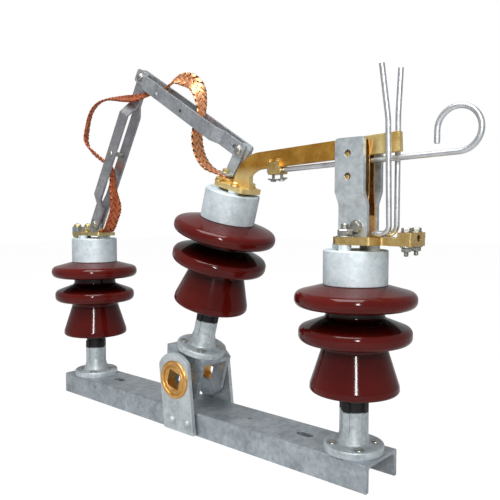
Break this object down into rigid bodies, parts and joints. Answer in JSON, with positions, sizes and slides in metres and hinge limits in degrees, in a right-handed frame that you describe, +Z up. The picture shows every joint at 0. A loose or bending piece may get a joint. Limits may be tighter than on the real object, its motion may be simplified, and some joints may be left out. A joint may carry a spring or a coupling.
{
  "type": "substation disconnect switch",
  "caption": "Outdoor air-break disconnect switch pole: ribbed insulators on a channel, rocking centre post with blade, jaw, horns and folding braid link.",
  "frame": {"origin": "middle of the base channel's web, on the top face that the posts stand on", "axes": "+X along the channel towards the jaw, +Y away from the front bearing plate, +Z up along the fixed posts"},
  "size_m": [0.7947, 0.1532, 0.5734],
  "materials": {
    "galvanised_steel": "hot-dip galvanised, spangled",
    "galvanised_casting": "hot-dip galvanised casting",
    "porcelain_glaze": "glossy brown glaze over porcelain",
    "brass": "cast, slightly tarnished",
    "bronze": "turned bronze",
    "copper_braid": "bare woven copper",
    "plated_steel": "zinc plated"
  },
  "bodies": {
    "base": {"base_channel": "galvanised_steel", "post_left_foot": "galvanised_casting", "post_left_porcelain": "porcelain_glaze", "post_left_cap": "galvanised_casting", "post_right_foot": "galvanised_casting", "post_right_porcelain": "porcelain_glaze", "post_right_cap": "galvanised_casting", "bearing_plate_front": "galvanised_steel", "bearing_plate_rear": "galvanised_steel", "bush_front": "bronze", "bush_rear": "bronze", "terminal_left_plate": "galvanised_steel", "terminal_left_keeper": "galvanised_steel", "link_anchor": "galvanised_steel", "terminal_right_bar": "galvanised_steel", "terminal_right_keeper": "galvanised_steel", "jaw_block": "brass", "jaw_plate_front": "galvanised_steel", "jaw_plate_rear": "galvanised_steel", "contact_leaf_front": "brass", "contact_leaf_rear": "brass", "horn_fixed": "galvanised_steel", "braid_lower": "copper_braid"},
    "rocker": {"rocker_bracket": "galvanised_steel", "hub_front": "galvanised_steel", "hub_rear": "galvanised_steel", "post_centre_foot": "galvanised_casting", "post_centre_porcelain": "porcelain_glaze", "post_centre_cap": "galvanised_casting", "blade": "brass", "horn_clamp": "brass", "horn_moving": "galvanised_steel", "link_lug": "galvanised_steel", "braid_upper": "copper_braid"},
    "lower_link": {"lower_link_front": "galvanised_steel", "lower_link_rear": "galvanised_steel", "lower_link_spacer": "plated_steel", "foot_pin": "plated_steel", "apex_pin": "plated_steel", "braid_middle": "copper_braid"},
    "upper_link": {"upper_link_front": "galvanised_steel", "upper_link_rear": "galvanised_steel", "upper_link_spacer": "plated_steel"},
    "head_joint": {"head_pin": "plated_steel"}
  },
  "joints": [
    {"name": "centre_post", "type": "hinge", "parent": "base", "child": "rocker", "pos_m": [-0.007, 0, 0.046], "axis": [0, -1, 0], "range_deg": [0, 35]},
    {"name": "lower_link", "type": "hinge", "parent": "base", "child": "lower_link", "pos_m": [-0.268, 0, 0.28], "axis": [0, -1, 0], "range_deg": [0, 37.49], "deforming": ["braid_lower"]},
    {"name": "link_elbow", "type": "hinge", "parent": "lower_link", "child": "upper_link", "pos_m": [-0.1285, 0, 0.525], "axis": [0, -1, 0], "range_deg": [-49.71, 0], "deforming": ["braid_middle"]},
    {"name": "head_pivot", "type": "hinge", "parent": "rocker", "child": "head_joint", "pos_m": [0.0921, 0, 0.39002], "axis": [0, -1, 0], "range_deg": [-47.23, 0], "deforming": ["braid_upper"]}
  ],
  "couplings": [
    {"joint": "lower_link", "follows": "centre_post", "ratio": 1.0708},
    {"joint": "link_elbow", "follows": "centre_post", "ratio": -1.4201},
    {"joint": "head_pivot", "follows": "centre_post", "ratio": -1.3493}
  ]
}
